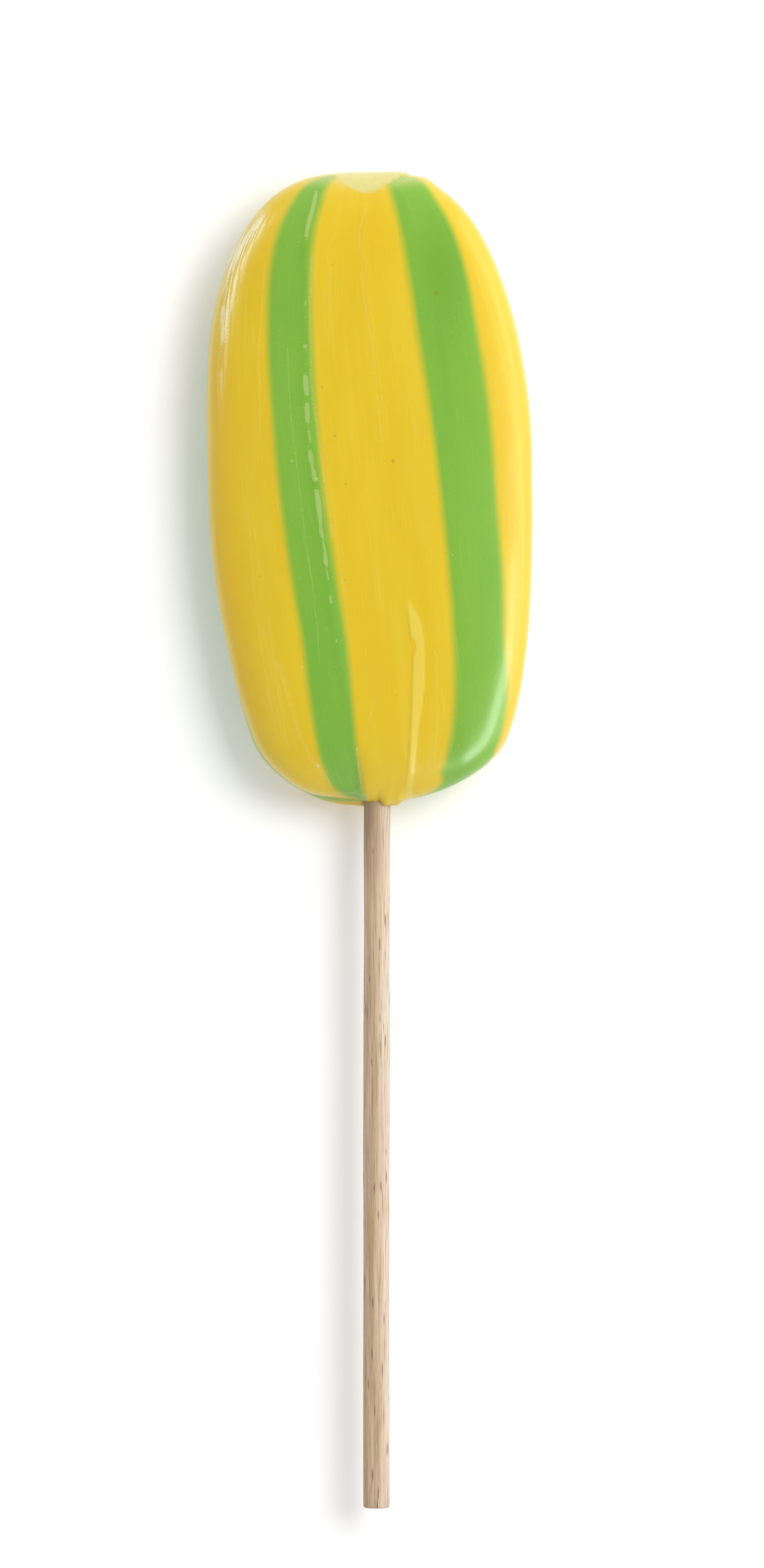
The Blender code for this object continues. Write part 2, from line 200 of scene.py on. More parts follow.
# Soft lights: the direction they come from, in degrees, their size at this distance, their radiance, and
# whether they light the matt side of things or the gloss.
LIGHT_DISTANCE = 900.0
LIGHTS = (
    ("key", 25, 54, 640, 540, 5.4, "matt"),
    ("side", 0, 18, 1300, 420, 0.2, "matt"),
    ("window", 8, 16, 1300, 420, 1.7, "gloss"),
    ("glint", -34, 37, 860, 290, 7.4, "gloss"),
    ("rim", 150, 24, 450, 160, 7.0, "gloss"),
    ("back", 100, 22, 900, 350, 0.7, "matt"),
)
HORIZON, ZENITH = 0.92, 0.35
DARK_SIDE = 0.85
FLOOR_GLOW = 0.12
FLOOR_HALF_SIZE = 3


def colour(red, green, blue):
    return (red, green, blue, 1.0)


YELLOW = colour(0.73, 0.525, 0.014)
DEEP_YELLOW = colour(0.71, 0.495, 0.010)
LIGHT_YELLOW = colour(0.73, 0.545, 0.030)
STREAK_YELLOW = colour(0.80, 0.63, 0.085)
GREEN = colour(0.187, 0.430, 0.040)
WARM_GREEN = colour(0.215, 0.445, 0.038)
LIGHT_GREEN = colour(0.220, 0.450, 0.055)
DEEP_GREEN = colour(0.165, 0.370, 0.022)
STREAK_GREEN = colour(0.30, 0.52, 0.10)
CORE = colour(0.66, 0.58, 0.19)
LIGHT_CORE = colour(0.68, 0.62, 0.24)
FLAP_HIGHLIGHT_YELLOW = colour(0.78, 0.66, 0.14)
AMBER = colour(0.74, 0.485, 0.004)
PALE_LINE = colour(0.75, 0.72, 0.38)
BLOOM_GLINT_WHITE = colour(0.95, 0.90, 0.62)
GOLD_LINE = colour(0.72, 0.52, 0.03)
SPOT_BROWN = colour(0.30, 0.20, 0.01)
BEECH = colour(0.485, 0.315, 0.165)
PALE_BEECH = colour(0.61, 0.465, 0.31)
PAINTED_SHEEN_BEECH = colour(0.70, 0.62, 0.52)
PINK_BEECH = colour(0.48, 0.32, 0.20)
FIBRE_BROWN = colour(0.30, 0.19, 0.105)
FLECK_BROWN = colour(0.17, 0.10, 0.055)

# Each sugar's tones: two in wide patches, two paler ones in streaks, and a deep one for deep patches and
# painted shade.
YELLOWS = (YELLOW, DEEP_YELLOW, LIGHT_YELLOW, STREAK_YELLOW, AMBER)
GREENS = (GREEN, WARM_GREEN, LIGHT_GREEN, STREAK_GREEN, DEEP_GREEN)
CANDY_SURFACE = {
    "Subsurface Weight": 0.4,
    "Subsurface Radius": (1.0, 0.7, 0.15),
    "Subsurface Scale": 0.0016,
    "IOR": 1.5,
    "Coat Weight": 0.2,
    "Coat Roughness": 0.12,
}
FLOOR_SURFACE = {
    "Roughness": 0.9,
    "Specular IOR Level": 0.1,
    "Emission Color": (1, 1, 1, 1),
    "Emission Strength": FLOOR_GLOW,
}

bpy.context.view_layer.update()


# Small helpers.


def smooth(value, low, high):
    """0 below low, 1 above high, and an even curve between them."""
    share = np.clip((value - low) / (high - low), 0, 1)
    return share * share * (3 - 2 * share)


def bump(distance, width):
    return np.exp(-((distance / width) ** 2))


def eased(route, y, reach=2.5):
    """The x of a route at each y, with the route's corners rounded."""
    xs, ys = zip(*route)
    nearby = y[:, None] + np.linspace(-reach, reach, 7)
    return np.interp(nearby, ys, xs).mean(axis=1)


def rolling(x, y, wavelength, seed):
    """Soft seeded unevenness between about -1 and 1."""
    rng = np.random.default_rng(seed)
    total = np.zeros_like(x)
    for _ in range(6):
        angle, phase = rng.uniform(0, 2 * math.pi, 2)
        step = 2 * math.pi / (wavelength * rng.uniform(0.7, 1.6))
        total += np.sin(step * (x * math.cos(angle) + y * math.sin(angle)) + phase)
    return total / 3.5


def read_points(mesh, kind):
    """The place ("co") or normal ("normal") of each point, one to a row."""
    values = np.zeros(len(mesh.vertices) * 3)
    mesh.vertices.foreach_get(kind, values)
    return values.reshape(-1, 3)


def set_points(mesh, points):
    mesh.vertices.foreach_set("co", (points * MM).ravel())
    mesh.update()


def ball_mesh(name, sides, rings):
    """A closed ball, with each point's angle round it and its share of the way down it."""
    bm = bmesh.new()
    bmesh.ops.create_uvsphere(bm, u_segments=sides, v_segments=rings, radius=1)
    mesh = bpy.data.meshes.new(name)
    bm.to_mesh(mesh)
    bm.free()
    x, y, z = read_points(mesh, "co").T
    return mesh, np.arctan2(x, y), np.arccos(np.clip(z, -1, 1)) / math.pi


# The candy's form.


def quarter(share, shape):
    fullness, corner = shape
    return (1 - np.minimum(share, 1) ** fullness) ** (1 / corner)


def side_width(y, reach, widest, above, below):
    up = quarter(np.maximum(y - widest, 0) / (HALF_LENGTH - widest), above)
    down = quarter(np.maximum(widest - y, 0) / (HALF_LENGTH + widest), below)
    return reach * np.where(y > widest, up, down)


def half_width(right_side, y):
    fullness = 1 + sum(share * bump(y - height, length) for height, length, share in SWELLS)
    right = side_width(y, RIGHT_REACH, RIGHT_WIDEST, RIGHT_ABOVE, RIGHT_BELOW)
    left = side_width(y, LEFT_REACH, LEFT_WIDEST, LEFT_ABOVE, LEFT_BELOW)
    return fullness * np.where(right_side, right, left)


def half_thickness(level):
    return HALF_THICKNESS * quarter(np.abs(level), LENGTHWISE)


def candy_form(turn, level):
    """Points of the candy's outside, at turns round the section and levels along it."""
    across, up = np.sin(turn), np.cos(turn)
    spread = (np.abs(across) ** SECTION_POWER + np.abs(up) ** SECTION_POWER) ** (-1 / SECTION_POWER)
    y = level * HALF_LENGTH
    x = half_width(across > 0, y) * across * spread
    z = CENTRE_Z + half_thickness(level) * up * spread
    z = (z + np.sqrt(z**2 + BACK_EDGE_ROUNDING**2)) / 2
    return np.stack([CENTRE_X + x, y, z], axis=-1)


def even_level(share):
    """The level at a share from 0 at the stick to 1 at the top, in even steps over the surface."""
    level = np.sin(np.linspace(-math.pi / 2, math.pi / 2, 4001))
    width = half_width(True, level * HALF_LENGTH)
    sideways = np.hypot(np.diff(width) * 0.6, np.diff(half_thickness(level)))
    along = np.concatenate([[0], np.cumsum(np.hypot(np.diff(level) * HALF_LENGTH, sideways))])
    return np.interp(share, along / along[-1], level)


def edge_turn(edge, level):
    nearby = level[:, None] + np.linspace(-STRIP_EASING, STRIP_EASING, 9) * (1 - np.abs(level[:, None]))
    return np.radians(np.interp(nearby, STRIP_LEVELS, edge).mean(axis=1))


def strip_distance(turn, level):
    """How far each point is inside a green strip, in millimetres: below zero outside them all."""
    step = 0.01
    moved = candy_form(turn + step, level) - candy_form(turn - step, level)
    speed = np.linalg.norm(moved, axis=1) / (2 * step)
    best = np.full(len(turn), -1e3)
    for left, right in STRIPS:
        middle = (edge_turn(left, level) + edge_turn(right, level)) / 2
        half = (edge_turn(right, level) - edge_turn(left, level)) / 2
        away = (turn - middle + math.pi) % (2 * math.pi) - math.pi
        best = np.maximum(best, (half - np.abs(away)) * speed)
    return best


def pulled_grain(turn, level, y):
    """A place on a round rope whose strips run straight along it, as the sugar was pulled, and its turn."""
    middles = [(edge_turn(left, level) + edge_turn(right, level)) / 2 for left, right in STRIPS]
    middles.append(middles[0] + 2 * math.pi)
    turn = np.where(turn < middles[0], turn + 2 * math.pi, turn)
    flow = np.zeros_like(turn)
    for number, (start, end) in enumerate(zip(middles, middles[1:])):
        inside = (turn >= start) & (turn < end)
        flow = np.where(inside, number + (turn - start) / (end - start), flow)
    around = 2 * math.pi * flow / len(STRIPS)
    radius = GIRTH / (2 * math.pi)
    return np.stack([radius * np.cos(around), radius * np.sin(around), y], axis=-1), around


# Marks and relief on the candy.


def tip_distance(x, y):
    """How far each point is inside the pale cut end, in millimetres."""
    xs, ys = zip(*TIP_EDGE)
    nearby = x[:, None] + np.linspace(-0.3, 0.3, 5)
    edge = np.interp(nearby, xs, ys).mean(axis=1)
    slope = np.abs(np.interp(x + 0.3, xs, ys) - np.interp(x - 0.3, xs, ys)) / 0.6
    above = (y - edge) / np.hypot(1, slope)
    return np.minimum(above, np.minimum(x - xs[0], xs[-1] - x))


def chip_distance(x, y):
    """Across from each point to the nearest chip on the crest, as a share of the chip's half width there."""
    away = x - eased(CREST, y)
    nearest = np.full(len(x), 99.0)
    for low, high, half in CHIPS:
        along = np.clip((y - low) / (high - low), 0.0, 1.0)
        leaf = half * (4 * along * (1 - along)) ** 0.22 + 1e-3
        leaning = away - CHIP_LEAN * np.sin(2.5 * along + low)
        nearest = np.minimum(nearest, np.abs(leaning) / leaf)
    return nearest


def line_marks(x, y):
    """Each point's distance from its nearest fine line, in half widths, and how strong that line is there."""
    marks = []
    for half, strength, route in LINES:
        starting = smooth(y, route[0][1] - 0.3, route[0][1] + 0.5)
        ending = 1 - smooth(y, route[-1][1] - 0.5, route[-1][1] + 0.3)
        marks.append(((x - eased(route, y, 0.6)) / half, half, strength * starting * ending))
    rim_left, rim_right = RIM_LINE_ENDS
    rim_ends = smooth(x, rim_left - 0.4, rim_left) * (1 - smooth(x, rim_right, rim_right + 0.3))
    marks.append(((y - RIM_LINE) / RIM_LINE_HALF, RIM_LINE_HALF, RIM_LINE_PALE * rim_ends))
    around_loop = np.hypot(x - LOOP[0], y - LOOP[1]) - LOOP_RADIUS
    marks.append((around_loop / LOOP_HALF, LOOP_HALF, LOOP_PALE * smooth(LOOP[1] + 0.3 - y, 0, 0.5)))
    distance = np.full(len(x), 99.0)
    strength = np.zeros(len(x))
    for away, half, strong in marks:
        nearer = (np.abs(away) < np.abs(distance)) & (np.abs(strong) > 0.01)
        distance = np.where(nearer, away, distance)
        strength = np.where(nearer, strong * (1 - smooth(np.abs(away) * half, 0.7, 1.2)), strength)
    return distance, strength


def crest_height(x, y):
    away = x - eased(CREST, y)
    shape = np.where(away < 0, bump(away, 0.7), bump(away, 0.8))
    ends = smooth(y, -44, -30) * (1 - smooth(y, 48, 51.5))
    chipped = 1 - smooth(chip_distance(x, y), 0.7, 1.3)
    return ends * (CREST_HEIGHT * shape - CHIP_DEPTH * chipped)


def seam_height(x, y):
    away = x - eased(SEAM, y)
    ends = smooth(y, 5, 12) * (1 - smooth(y, 45, 49))
    return ends * (SEAM_HEIGHT * bump(away - 0.35, 0.35) - SEAM_GROOVE * bump(away, 0.25))


def fold_distance(x, y):
    """How far each point is inside the folded-over flap, in millimetres."""
    left, right = eased(FOLD_LEFT, y, 0.8), eased(FOLD_RIGHT, y, 0.8)
    return np.where(y < FOLD_LEFT[-1][1], np.minimum(x - left, right - x), -5.0)


def fold_height(x, y):
    left, right = eased(FOLD_LEFT, y, 0.8), eased(FOLD_RIGHT, y, 0.8)
    across = (x - left) / np.maximum(right - left, 0.1)
    inside = smooth(x - left, -0.15, 0.15) * (1 - smooth(x - right, -0.2, 0.2))
    ends = smooth(y, -54, -46) * (1 - smooth(y, -24, -19))
    return ends * inside * (FOLD_HEIGHT - FOLD_TILT * np.clip(across, 0, 1))


def nick_distance(x, y):
    """How far each point is inside the nick at the flap's left edge: a half leaf, straight on its left."""
    reach = np.hypot((x - NICK[0]) / NICK_SIZE[0], (y - NICK[1]) / NICK_SIZE[1])
    return np.minimum((1 - reach) * NICK_SIZE[0], x - NICK[0] + 0.05)


def ledge_share(x, y, z):
    """The back layer's edge, which shows along the bottom left."""
    behind = 1 - smooth(z - CENTRE_Z, -1.6, -0.6)
    return behind * smooth(x, -15, -4) * (1 - smooth(x, -2.2, -1.2)) * smooth(-y, 40, 48)


def rim_share(x, y, z):
    """The front layer's edge, drawn back from the ledge."""
    ahead = smooth(z - CENTRE_Z, -0.6, 0.6)
    return ahead * smooth(x, -15, -6) * (1 - smooth(x, -4.0, -1.4)) * smooth(-y, 44, 51)


def lip_height(x, z):
    """How far the candy is squeezed out along the stick: a low lip in front, and two lobes that stick out."""
    above = z - CENTRE_Z
    ragged = 0.12 * rolling(x, above, 1.6, 8)
    front = smooth(above, 0.8, 2.0) * (1 - smooth(above, 3.6, 5.2))
    low = smooth(x, -5.6, -4.2) * (1 - smooth(x, 3.8, 5.8))
    right = smooth(x, 0.35, 1.25) * (1 - smooth(x, 3.4, 5.4))
    middle = smooth(x, -1.9, -1.5) * (1 - smooth(x, -0.5, 0.45))
    behind = bump(np.hypot(x, above + 3.0), 2.6)
    return front * (0.05 * low + right * (0.9 + ragged) + middle * (0.15 + ragged)) + 0.5 * behind


def stick_x(y):
    return STICK_OFFSET + STICK_BEND * ((y - STICK_FREE_END) / STICK_LENGTH) ** 3


def pulled_height(arc, y, z, level):
    """The pulled sugar's unevenness, all of it inwards, so that the candy keeps its size."""
    waves = [depth * (rolling(arc, y * along, wave, seed) - 1) for depth, wave, along, seed in PULL_WAVES]
    return sum(waves) * smooth(z, 0.3, 2.5) * (1 - smooth(np.abs(level), 0.93, 1.0))


def nick_height(x, y):
    return -NICK_DEPTH * smooth(nick_distance(x, y), -0.1, 0.5)


def crease_height(x, y):
    away = np.hypot((x - CREASE[0]) / CREASE_SIZE[0], (y - CREASE[1]) / CREASE_SIZE[1])
    return -CREASE_DEPTH * bump(away, 1)


def tip_height(x, y, pale):
    step = TIP_STEP * smooth(x, 0, 5) * smooth(pale, -0.1, 0.3)
    kink = KINK * bump(x - KINK_X, KINK_REACH) * smooth(y, 49.5, 53)
    return step - TIP_GROOVE * bump(pale + 0.2, 0.35) + kink


def squeezed_out(x, y, z, level):
    """How far the bottom is moved up along the candy: below zero where a lip stands out."""
    from_stick = np.hypot(x - stick_x(y), z - CENTRE_Z)
    hollow = 0.6 * (1 - smooth(from_stick, STICK_RADIUS, STICK_RADIUS + 0.5))
    hollow *= 1 - smooth(z - CENTRE_Z, 0, 1.5)
    return smooth(-level, 0.93, 0.96) * (hollow - lip_height(x, z))


def frost_share(x, y):
    """How thick the dry sugar bloom is, and with it the painted glint in its streaks."""
    width = 0.6 + 1.0 * smooth(y, 18, 42)
    return bump(x - eased(FROST, y), width) * smooth(y, 8, 42) * (1 - smooth(y, 44, 49))


def deep_and_shade_share(turn, level, x, y, front):
    """How deep the sugar's colour is, with painted shade down the left flank and at the top right."""
    deep_and_shade = bump(np.degrees(turn) - LEFT_SHADE_TURN, LEFT_SHADE_REACH) * smooth(level, -0.9, -0.6)
    deep_and_shade *= 1 - smooth(level, 0.2, 0.7)
    for middle_x, middle_y, across, along, share in DEEP_AND_SHADED_PATCHES:
        patch = bump(np.hypot((x - middle_x) / across, (y - middle_y) / along), 1)
        deep_and_shade = np.maximum(deep_and_shade, share * front * patch)
    return deep_and_shade


def candy_skin():
    """The candy as one closed mesh, with what its material needs to know kept at each point."""
    mesh, around, down = ball_mesh("candy_skin", ROUND_THE_SKIN, DOWN_THE_SKIN)
    turn = around - FRONT_FINER * np.sin(around)
    level = even_level(1 - down)
    points = candy_form(turn, level)
    set_points(mesh, points)
    normals = read_points(mesh, "normal")
    if (normals * (points - (CENTRE_X, 0, CENTRE_Z))).sum() < 0:
        mesh.flip_normals()
        normals = -normals

    x, y, z = points.T
    front = smooth(z - CENTRE_Z, -1, 2)
    grain, flow = pulled_grain(turn, level, y)
    arc = flow * GIRTH / (2 * math.pi)
    pale = tip_distance(x, y)
    line, line_strength = line_marks(x, y)
    deep_and_shade = deep_and_shade_share(turn, level, x, y, front)
    frost = frost_share(x, y)

    height = pulled_height(arc, y, z, level) + tip_height(x, y, pale)
    height += front * (crest_height(x, y) + seam_height(x, y) + fold_height(x, y))
    height += front * (nick_height(x, y) + crease_height(x, y))
    height += FROST_RELIEF * frost * rolling(arc, y * 0.15, 0.7, 5)
    height += LEDGE_OUT * ledge_share(x, y, z) - RIM_BACK * rim_share(x, y, z)
    points = points + normals * height[:, None]
    x, y, z = points.T
    points[:, 1] += squeezed_out(x, y, z, level)
    points[:, 2] = np.maximum(points[:, 2], 0)
    set_points(mesh, points)
    mesh.shade_smooth()
    fields = {
        "green": strip_distance(turn, level),
        "pale": pale,
        "fold": fold_distance(x, y),
        "nick_shade": nick_distance(x, y),
        "chip": chip_distance(x, y),
        "line": line,
        "line_strength": line_strength * front,
        "ledge": ledge_share(x, y, z),
        "deep_and_shade": deep_and_shade,
        "frost": frost,
        "front": front,
    }
    for name, values in fields.items():
        mesh.attributes.new(name, "FLOAT", "POINT").data.foreach_set("value", values.astype(np.float32))
    kept = mesh.attributes.new("grain", "FLOAT_VECTOR", "POINT")
    kept.data.foreach_set("vector", grain.astype(np.float32).ravel())
    return mesh


# Materials.


class Nodes:
    """Short ways to add and join the nodes of one material."""

    def __init__(self, name):
        self.material = bpy.data.materials.new(name)
        self.material.use_nodes = True
        self.tree = self.material.node_tree
        self.shader = self.tree.nodes["Principled BSDF"]

    def feed(self, socket, value):
        if isinstance(value, bpy.types.NodeSocket):
            self.tree.links.new(value, socket)
        else:
            socket.default_value = value

    def add(self, kind, output, inputs=(), **settings):
        node = self.tree.nodes.new("ShaderNode" + kind)
        for name, value in settings.items():
            setattr(node, name, value)
        for name, value in dict(inputs).items():
            self.feed(node.inputs[name], value)
        return node.outputs[output]

    def field(self, name, output="Fac"):
        return self.add("Attribute", output, attribute_name=name)

    def math(self, operation, first, second=0.0, clamp=False):
        return self.add("Math", 0, {0: first, 1: second}, operation=operation, use_clamp=clamp)

    def ranged(self, value, low, high, start=0.0, end=1.0):
        inputs = {"Value": value, "From Min": low, "From Max": high, "To Min": start, "To Max": end}
        return self.add("MapRange", "Result", inputs, interpolation_type="SMOOTHSTEP")

    def mix(self, share, first, second):
        return self.add("Mix", 2, {0: share, 6: first, 7: second}, data_type="RGBA")

    def stretched(self, vector, scale):
        return self.add("VectorMath", 0, {0: vector, 1: scale}, operation="MULTIPLY")

    def noise(self, vector, scale, detail, roughness):
        inputs = {"Vector": vector, "Scale": scale, "Detail": detail, "Roughness": roughness}
        return self.add("TexNoise", "Fac", inputs)

    def bump(self, height, distance, normal=None):
        inputs = {"Height": height, "Distance": distance, "Strength": 1.0}
        if normal is not None:
            inputs["Normal"] = normal
        return self.add("Bump", 0, inputs)

    def surface(self, inputs):
        for name, value in inputs.items():
            self.feed(self.shader.inputs[name], value)


def pulled_sugar(n, tones, light_share, streak_share, clouds, streaks, fine):
    """One sugar's colour, streaked along the pull."""
    first, second, light, streak, deep_and_shade = tones
    tone = n.mix(n.ranged(clouds, 0.3, 0.7), first, second)
    tone = n.mix(n.ranged(streaks, 0.45, 0.75, 0, light_share), tone, light)
    tone = n.mix(n.ranged(fine, 0.57, 0.8, 0, streak_share), tone, streak)
    # The deep tone: where the sugar is deep, and painted shade down the left flank and at the top right.
    return n.mix(n.math("MULTIPLY", n.field("deep_and_shade"), 0.9), tone, deep_and_shade)


def add_cut_end(n, body, place):
    """The mottled core, and a painted highlight on the layers beside it."""
    along = n.add("SeparateXYZ", "Y", {0: place})
    # Painted highlight: the layers just below the core are lighter towards the top end.
    painted_tip_highlight = n.ranged(along, TIP_HIGHLIGHT_FROM * MM, TIP_HIGHLIGHT_TO * MM, 0, TIP_HIGHLIGHT_SHARE)
    painted_tip_highlight = n.math("MULTIPLY", painted_tip_highlight, n.ranged(n.field("pale"), -TIP_HIGHLIGHT_REACH, -0.2))
    body = n.mix(painted_tip_highlight, body, LIGHT_CORE)
    mottled = n.noise(place, 400, 3, 0.5)
    core = n.mix(n.ranged(mottled, 0.3, 0.7), CORE, LIGHT_CORE)
    cut = n.math("ADD", n.field("pale"), n.math("SUBTRACT", mottled, 0.5))
    return n.mix(n.ranged(cut, -0.3, 0.35), body, core)


def add_marks(n, body, place, front):
    """The flap and chips, painted pale as highlights; the nick, painted amber as shade; the back layer's
    edge, amber partly as painted shade; and the fine lines, pale or golden.
    """
    # Painted highlight: the flap is paler, as its flat face catches the light.
    flap_highlight = n.math("MULTIPLY", n.ranged(n.field("fold"), -0.15, 0.25, 0, 0.40), front)
    body = n.mix(flap_highlight, body, FLAP_HIGHLIGHT_YELLOW)
    # Painted shade: the nick is darkened to amber.
    nick_shade = n.math("MULTIPLY", n.ranged(n.field("nick_shade"), -0.1, 0.2, 0, 0.75), front)
    body = n.mix(nick_shade, body, AMBER)
    # The back layer's edge is painted amber: its own deeper colour, and painted shade at the bottom left.
    body = n.mix(n.math("MULTIPLY", n.field("ledge"), 0.8, True), body, AMBER)
    away = n.math("ABSOLUTE", n.field("line"))
    dotted = n.ranged(n.noise(place, 2600, 1, 0.5), 0.38, 0.62, 0.3, 1.1)
    line = n.math("MULTIPLY", n.ranged(away, 1.1, 0.6), n.field("line_strength"))
    line = n.math("MULTIPLY", line, dotted)
    body = n.mix(n.math("MAXIMUM", line, 0.0), body, PALE_LINE)
    # Painted highlight: the chips on the crest are paler, as flat facets catching the light.
    chip = n.math("MULTIPLY", n.ranged(n.field("chip"), 1.25, 0.75), front)
    body = n.mix(n.math("MULTIPLY", chip, 0.28), body, PALE_LINE)
    return n.mix(n.math("MAXIMUM", n.math("MULTIPLY", line, -1.0), 0.0), body, GOLD_LINE)


def add_spots(n, body, place, front):
    """Bubbles and specks on the front, and the height of the low domes over them."""
    flat = n.stretched(place, (1, 1, 0))
    domes = None
    for x, y, radius, dark in SPOTS:
        away = n.add("VectorMath", "Value", {0: flat, 1: (x * MM, y * MM, 0)}, operation="DISTANCE")
        dome = n.math("MULTIPLY", n.ranged(away, radius * MM, 0), front)
        shade = n.math("MULTIPLY", n.ranged(away, radius * MM, 0.2 * radius * MM), front)
        tone = SPOT_BROWN if dark > 0 else PALE_LINE
        body = n.mix(n.math("MULTIPLY", shade, 0.55 * abs(dark)), body, tone)
        domes = dome if domes is None else n.math("MAXIMUM", domes, dome)
    return body, domes


def add_bloom_and_painted_glint(n, body, place, grain):
    """Dry sugar along the left shoulder, in broken near-white streaks: sugar bloom and painted glints both.
    """
    broken = n.noise(n.stretched(grain, (1, 1, 0.05)), 2.9, 1, 0.5)
    grit = n.noise(place, 5200, 2, 0.6)
    bloom = n.math("ADD", n.ranged(broken, 0.46, 0.53, 0, 1.15), n.ranged(grit, 0.42, 0.66, -0.4, 0.45))
    bloom = n.math("MULTIPLY", n.math("MAXIMUM", bloom, 0.0), n.field("frost"), True)
    # The near-white streaks are sugar bloom and painted glints both.
    return n.mix(bloom, body, BLOOM_GLINT_WHITE)


def candy_material():
    """Satin boiled sugar: soft edged strips, faint streaks along the pull, bubbles, and a pale cut end."""
    n = Nodes("striped_candy")
    place = n.add("TexCoord", "Object")
    grain = n.field("grain", "Vector")
    front = n.field("front")
    streaks = n.noise(n.stretched(grain, (1, 1, 0.04)), 0.5, 3, 0.5)
    fine = n.noise(n.stretched(grain, (1, 1, 0.03)), 3.2, 3, 0.6)
    clouds = n.noise(n.stretched(grain, (1, 1, 0.3)), 0.16, 2, 0.5)

    yellow = pulled_sugar(n, YELLOWS, 0.7, 0.5, clouds, streaks, fine)
    green = pulled_sugar(n, GREENS, 0.5, 0.45, clouds, streaks, fine)
    waver = n.math("MULTIPLY", n.math("SUBTRACT", streaks, 0.5), STRIP_WAVER)
    edge = n.math("ADD", n.field("green"), waver)
    body = n.mix(n.ranged(edge, *STRIP_SOFT), yellow, green)
    body = add_cut_end(n, body, place)
    body = add_marks(n, body, place, front)
    body, domes = add_spots(n, body, place, front)
    body = add_bloom_and_painted_glint(n, body, place, grain)
    specks = n.ranged(n.noise(place, 1900, 3, 0.7), 0.6, 0.78)
    body = n.mix(n.math("MULTIPLY", specks, 0.2), body, PALE_LINE)

    frosted = n.noise(n.stretched(grain, (1, 1, 0.12)), 3.2, 3, 0.75)
    frosted = n.math("MULTIPLY", frosted, n.field("frost"))
    normal = None
    for height, distance in ((streaks, 0.00001), (specks, 0.000004), (frosted, 0.0002), (domes, 0.00005)):
        normal = n.bump(height, distance, normal)
    roughness = n.ranged(clouds, 0.3, 0.7, 0.28, 0.33)
    n.surface({"Base Color": body, "Roughness": roughness, "Normal": normal, **CANDY_SURFACE})
    return n.material


def wood_material():
    """Raw beech: pale, fine-fibred, with short dark flecks along the grain, a painted sheen on its right side
    and painted shade below the candy.
    """
    n = Nodes("beech")
    place = n.add("TexCoord", "Object")
    fibres = n.noise(n.stretched(place, (1, 0.03, 1)), 4200, 4, 0.65)
    bands = n.noise(n.stretched(place, (1, 0.03, 1)), 900, 2, 0.5)
    blotches = n.noise(n.stretched(place, (1, 0.2, 1)), 260, 2, 0.5)
    tone = n.mix(n.ranged(bands, 0.35, 0.65), BEECH, PALE_BEECH)
    tone = n.mix(n.ranged(blotches, 0.4, 0.7, 0, 0.5), tone, PINK_BEECH)
    across = n.add("SeparateXYZ", "X", {0: place})
    # Painted sheen: the beech is paler towards its right side, where the light falls.
    tone = n.mix(n.ranged(across, -0.4 * STICK_RADIUS * MM, STICK_RADIUS * MM, 0, 0.6), tone, PAINTED_SHEEN_BEECH)
    along = n.add("SeparateXYZ", "Y", {0: place})
    # Painted shade: darker, in streaks, just below the candy and most on the left, where the candy's shadow
    # falls.
    painted_shade = n.ranged(along, PAINTED_SHADE_FROM * MM, PAINTED_SHADE_TO * MM)
    painted_shade = n.math("MULTIPLY", painted_shade, n.ranged(bands, 0.3, 0.6, 0.25, 0.8))
    painted_shade = n.math("MULTIPLY", painted_shade, n.ranged(across, -1.5 * MM, 1.5 * MM, 1.0, 0.25))
    tone = n.mix(painted_shade, tone, FIBRE_BROWN)
    tone = n.mix(n.ranged(fibres, 0.47, 0.72, 0, 0.85), tone, FIBRE_BROWN)
    tone = n.mix(n.ranged(fibres, 0.44, 0.28, 0, 0.8), tone, PALE_BEECH)
    cells = n.add("TexVoronoi", "Distance", {"Vector": n.stretched(place, (1, 0.11, 1)), "Scale": 1500.0})
    chosen = n.noise(n.stretched(place, (1, 0.3, 1)), 420, 1, 0.5)
    flecks = n.math("MULTIPLY", n.ranged(cells, 0.28, 0.10), n.ranged(chosen, 0.49, 0.54))
    tone = n.mix(n.math("MULTIPLY", flecks, 0.85), tone, FLECK_BROWN)
    roughness = n.ranged(fibres, 0.3, 0.7, 0.6, 0.75)
    n.surface({"Base Color": tone, "Roughness": roughness, "Normal": n.bump(fibres, 0.00006)})
    return n.material


def floor_material():
    """White board, lit a little from below as a studio table is."""
    n = Nodes("white_board")
    grain = n.noise(n.add("TexCoord", "Object"), 60, 3, 0.5)
    tone = n.mix(grain, colour(0.93, 0.93, 0.93), colour(0.95, 0.95, 0.95))
    n.surface({"Base Color": tone, **FLOOR_SURFACE})
    return n.material


# Pieces.


def add_object(name, mesh, material):
    obj = bpy.data.objects.new(name, mesh)
    bpy.context.scene.collection.objects.link(obj)
    mesh.materials.append(material)
    return obj


def add_candy():
    candy = add_object("candy", candy_skin(), candy_material())
    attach(candy, "root")
    strips = [f"green_strip_{number}" for number in range(1, len(STRIPS) + 1)]
    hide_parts("candy_jacket", "pale_core", *strips)


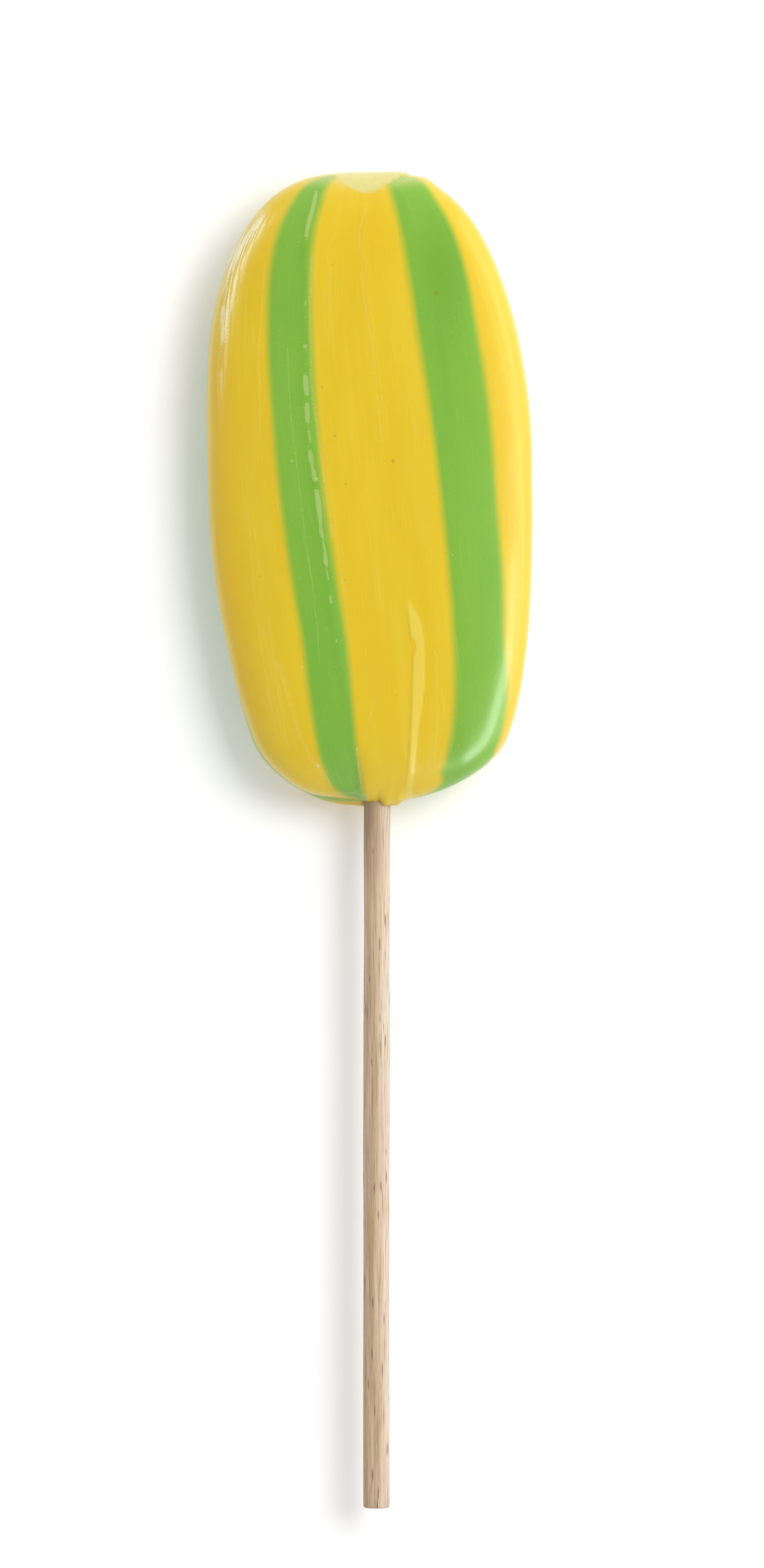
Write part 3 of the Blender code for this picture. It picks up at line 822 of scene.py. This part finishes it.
def dowel_profile():
    """Radius and height of each ring: across a flat end, round its worn edge, along the dowel, and back."""
    end = [((STICK_RADIUS - STICK_EDGE) * step / FACE_RINGS, 0.0) for step in range(FACE_RINGS + 1)]
    for step in range(1, EDGE_RINGS + 1):
        angle = math.pi / 2 * step / EDGE_RINGS
        radius = STICK_RADIUS - STICK_EDGE + STICK_EDGE * math.sin(angle)
        end.append((radius, STICK_EDGE * (1 - math.cos(angle))))
    steps = STICK_RINGS - 2 * (FACE_RINGS + EDGE_RINGS)
    straight = STICK_LENGTH - 2 * STICK_EDGE
    middle = [(STICK_RADIUS, STICK_EDGE + straight * step / steps) for step in range(1, steps)]
    other_end = [(radius, STICK_LENGTH - height) for radius, height in reversed(end)]
    return np.array(end + middle + other_end).T


def stick_mesh():
    """A dowel turned from rings, with worn ends, fine fibres standing out, and the stick's slight bend."""
    mesh, around, down = ball_mesh("stick_turned", STICK_SIDES, STICK_RINGS)
    ring = np.rint(down * STICK_RINGS)
    radii, heights = dowel_profile()
    radius = np.interp(ring, np.arange(STICK_RINGS + 1), radii)
    y = STICK_FREE_END + np.interp(ring, np.arange(STICK_RINGS + 1), heights)
    fibre = 0.018 * rolling(around * STICK_RADIUS, y * 0.02, 0.5, 11)
    fibre += 0.02 * rolling(around, y * 0.05, 2.0, 12)
    radius = radius * (1 + fibre * (radius > 0.8 * STICK_RADIUS))
    x = stick_x(y) + radius * np.sin(around)
    z = CENTRE_Z + radius * np.cos(around)
    set_points(mesh, np.stack([x, y, z], axis=-1))
    bm = bmesh.new()
    bm.from_mesh(mesh)
    bmesh.ops.recalc_face_normals(bm, faces=bm.faces)
    if bm.calc_volume(signed=True) < 0:
        bmesh.ops.reverse_faces(bm, faces=bm.faces)
    bm.to_mesh(mesh)
    bm.free()
    mesh.shade_smooth()
    return mesh


def add_stick():
    stick = add_object("dowel", stick_mesh(), wood_material())
    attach(stick, "root")
    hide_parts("stick")


def add_floor():
    bm = bmesh.new()
    bmesh.ops.create_grid(bm, x_segments=8, y_segments=8, size=FLOOR_HALF_SIZE)
    mesh = bpy.data.meshes.new("board")
    bm.to_mesh(mesh)
    bm.free()
    add_object("board", mesh, floor_material())


# Light and camera.


def add_light(name, azimuth, elevation, width, height, radiance, lights):
    """A rectangular soft light that faces the object, whose brightness doesn't depend on its size."""
    light = bpy.data.lights.new(name, "AREA")
    light.shape = "RECTANGLE"
    light.size = width * MM
    light.size_y = height * MM
    light.energy = radiance * math.pi * light.size * light.size_y
    around, up = math.radians(azimuth), math.radians(elevation)
    away = Vector((math.cos(up) * math.cos(around), math.cos(up) * math.sin(around), math.sin(up)))
    obj = bpy.data.objects.new(name, light)
    obj.location = away * LIGHT_DISTANCE * MM
    obj.rotation_euler = (-away).to_track_quat("-Z", "Y").to_euler()
    obj.visible_camera = False
    obj.visible_diffuse = lights == "matt"
    obj.visible_glossy = lights == "gloss"
    bpy.context.scene.collection.objects.link(obj)


def add_world():
    """A white studio, brightest at the horizon and darker on the left."""
    world = bpy.data.worlds.new("studio")
    world.use_nodes = True
    bpy.context.scene.world = world
    tree = world.node_tree
    background = tree.nodes["Background"]
    place = tree.nodes.new("ShaderNodeTexCoord")
    parts = tree.nodes.new("ShaderNodeSeparateXYZ")
    tree.links.new(place.outputs["Generated"], parts.inputs[0])
    ramps = []
    for axis, low, high, start, end in (("Z", 0.35, 1.0, HORIZON, ZENITH), ("X", -0.9, 0.3, DARK_SIDE, 1.0)):
        ramp = tree.nodes.new("ShaderNodeMapRange")
        tree.links.new(parts.outputs[axis], ramp.inputs["Value"])
        for socket, value in (("From Min", low), ("From Max", high), ("To Min", start), ("To Max", end)):
            ramp.inputs[socket].default_value = value
        ramps.append(ramp.outputs["Result"])
    strength = tree.nodes.new("ShaderNodeMath")
    strength.operation = "MULTIPLY"
    for number, ramp in enumerate(ramps):
        tree.links.new(ramp, strength.inputs[number])
    tree.links.new(strength.outputs[0], background.inputs["Strength"])
    background.inputs["Color"].default_value = (1, 1, 1, 1)


def add_camera():
    """Straight above, far back, framed as the photograph is."""
    camera = bpy.data.cameras.new("camera")
    camera.sensor_width = SENSOR
    camera.lens = SENSOR * (CAMERA_ABOVE - CENTRE_Z) / VIEW_HEIGHT
    obj = bpy.data.objects.new("camera", camera)
    obj.location = Vector((*VIEW_CENTRE, CAMERA_ABOVE)) * MM
    bpy.context.scene.collection.objects.link(obj)
    bpy.context.scene.camera = obj


def main():
    bpy.context.scene.view_settings.view_transform = "Standard"
    add_candy()
    add_stick()
    add_floor()
    for light in LIGHTS:
        add_light(*light)
    add_world()
    add_camera()


main()
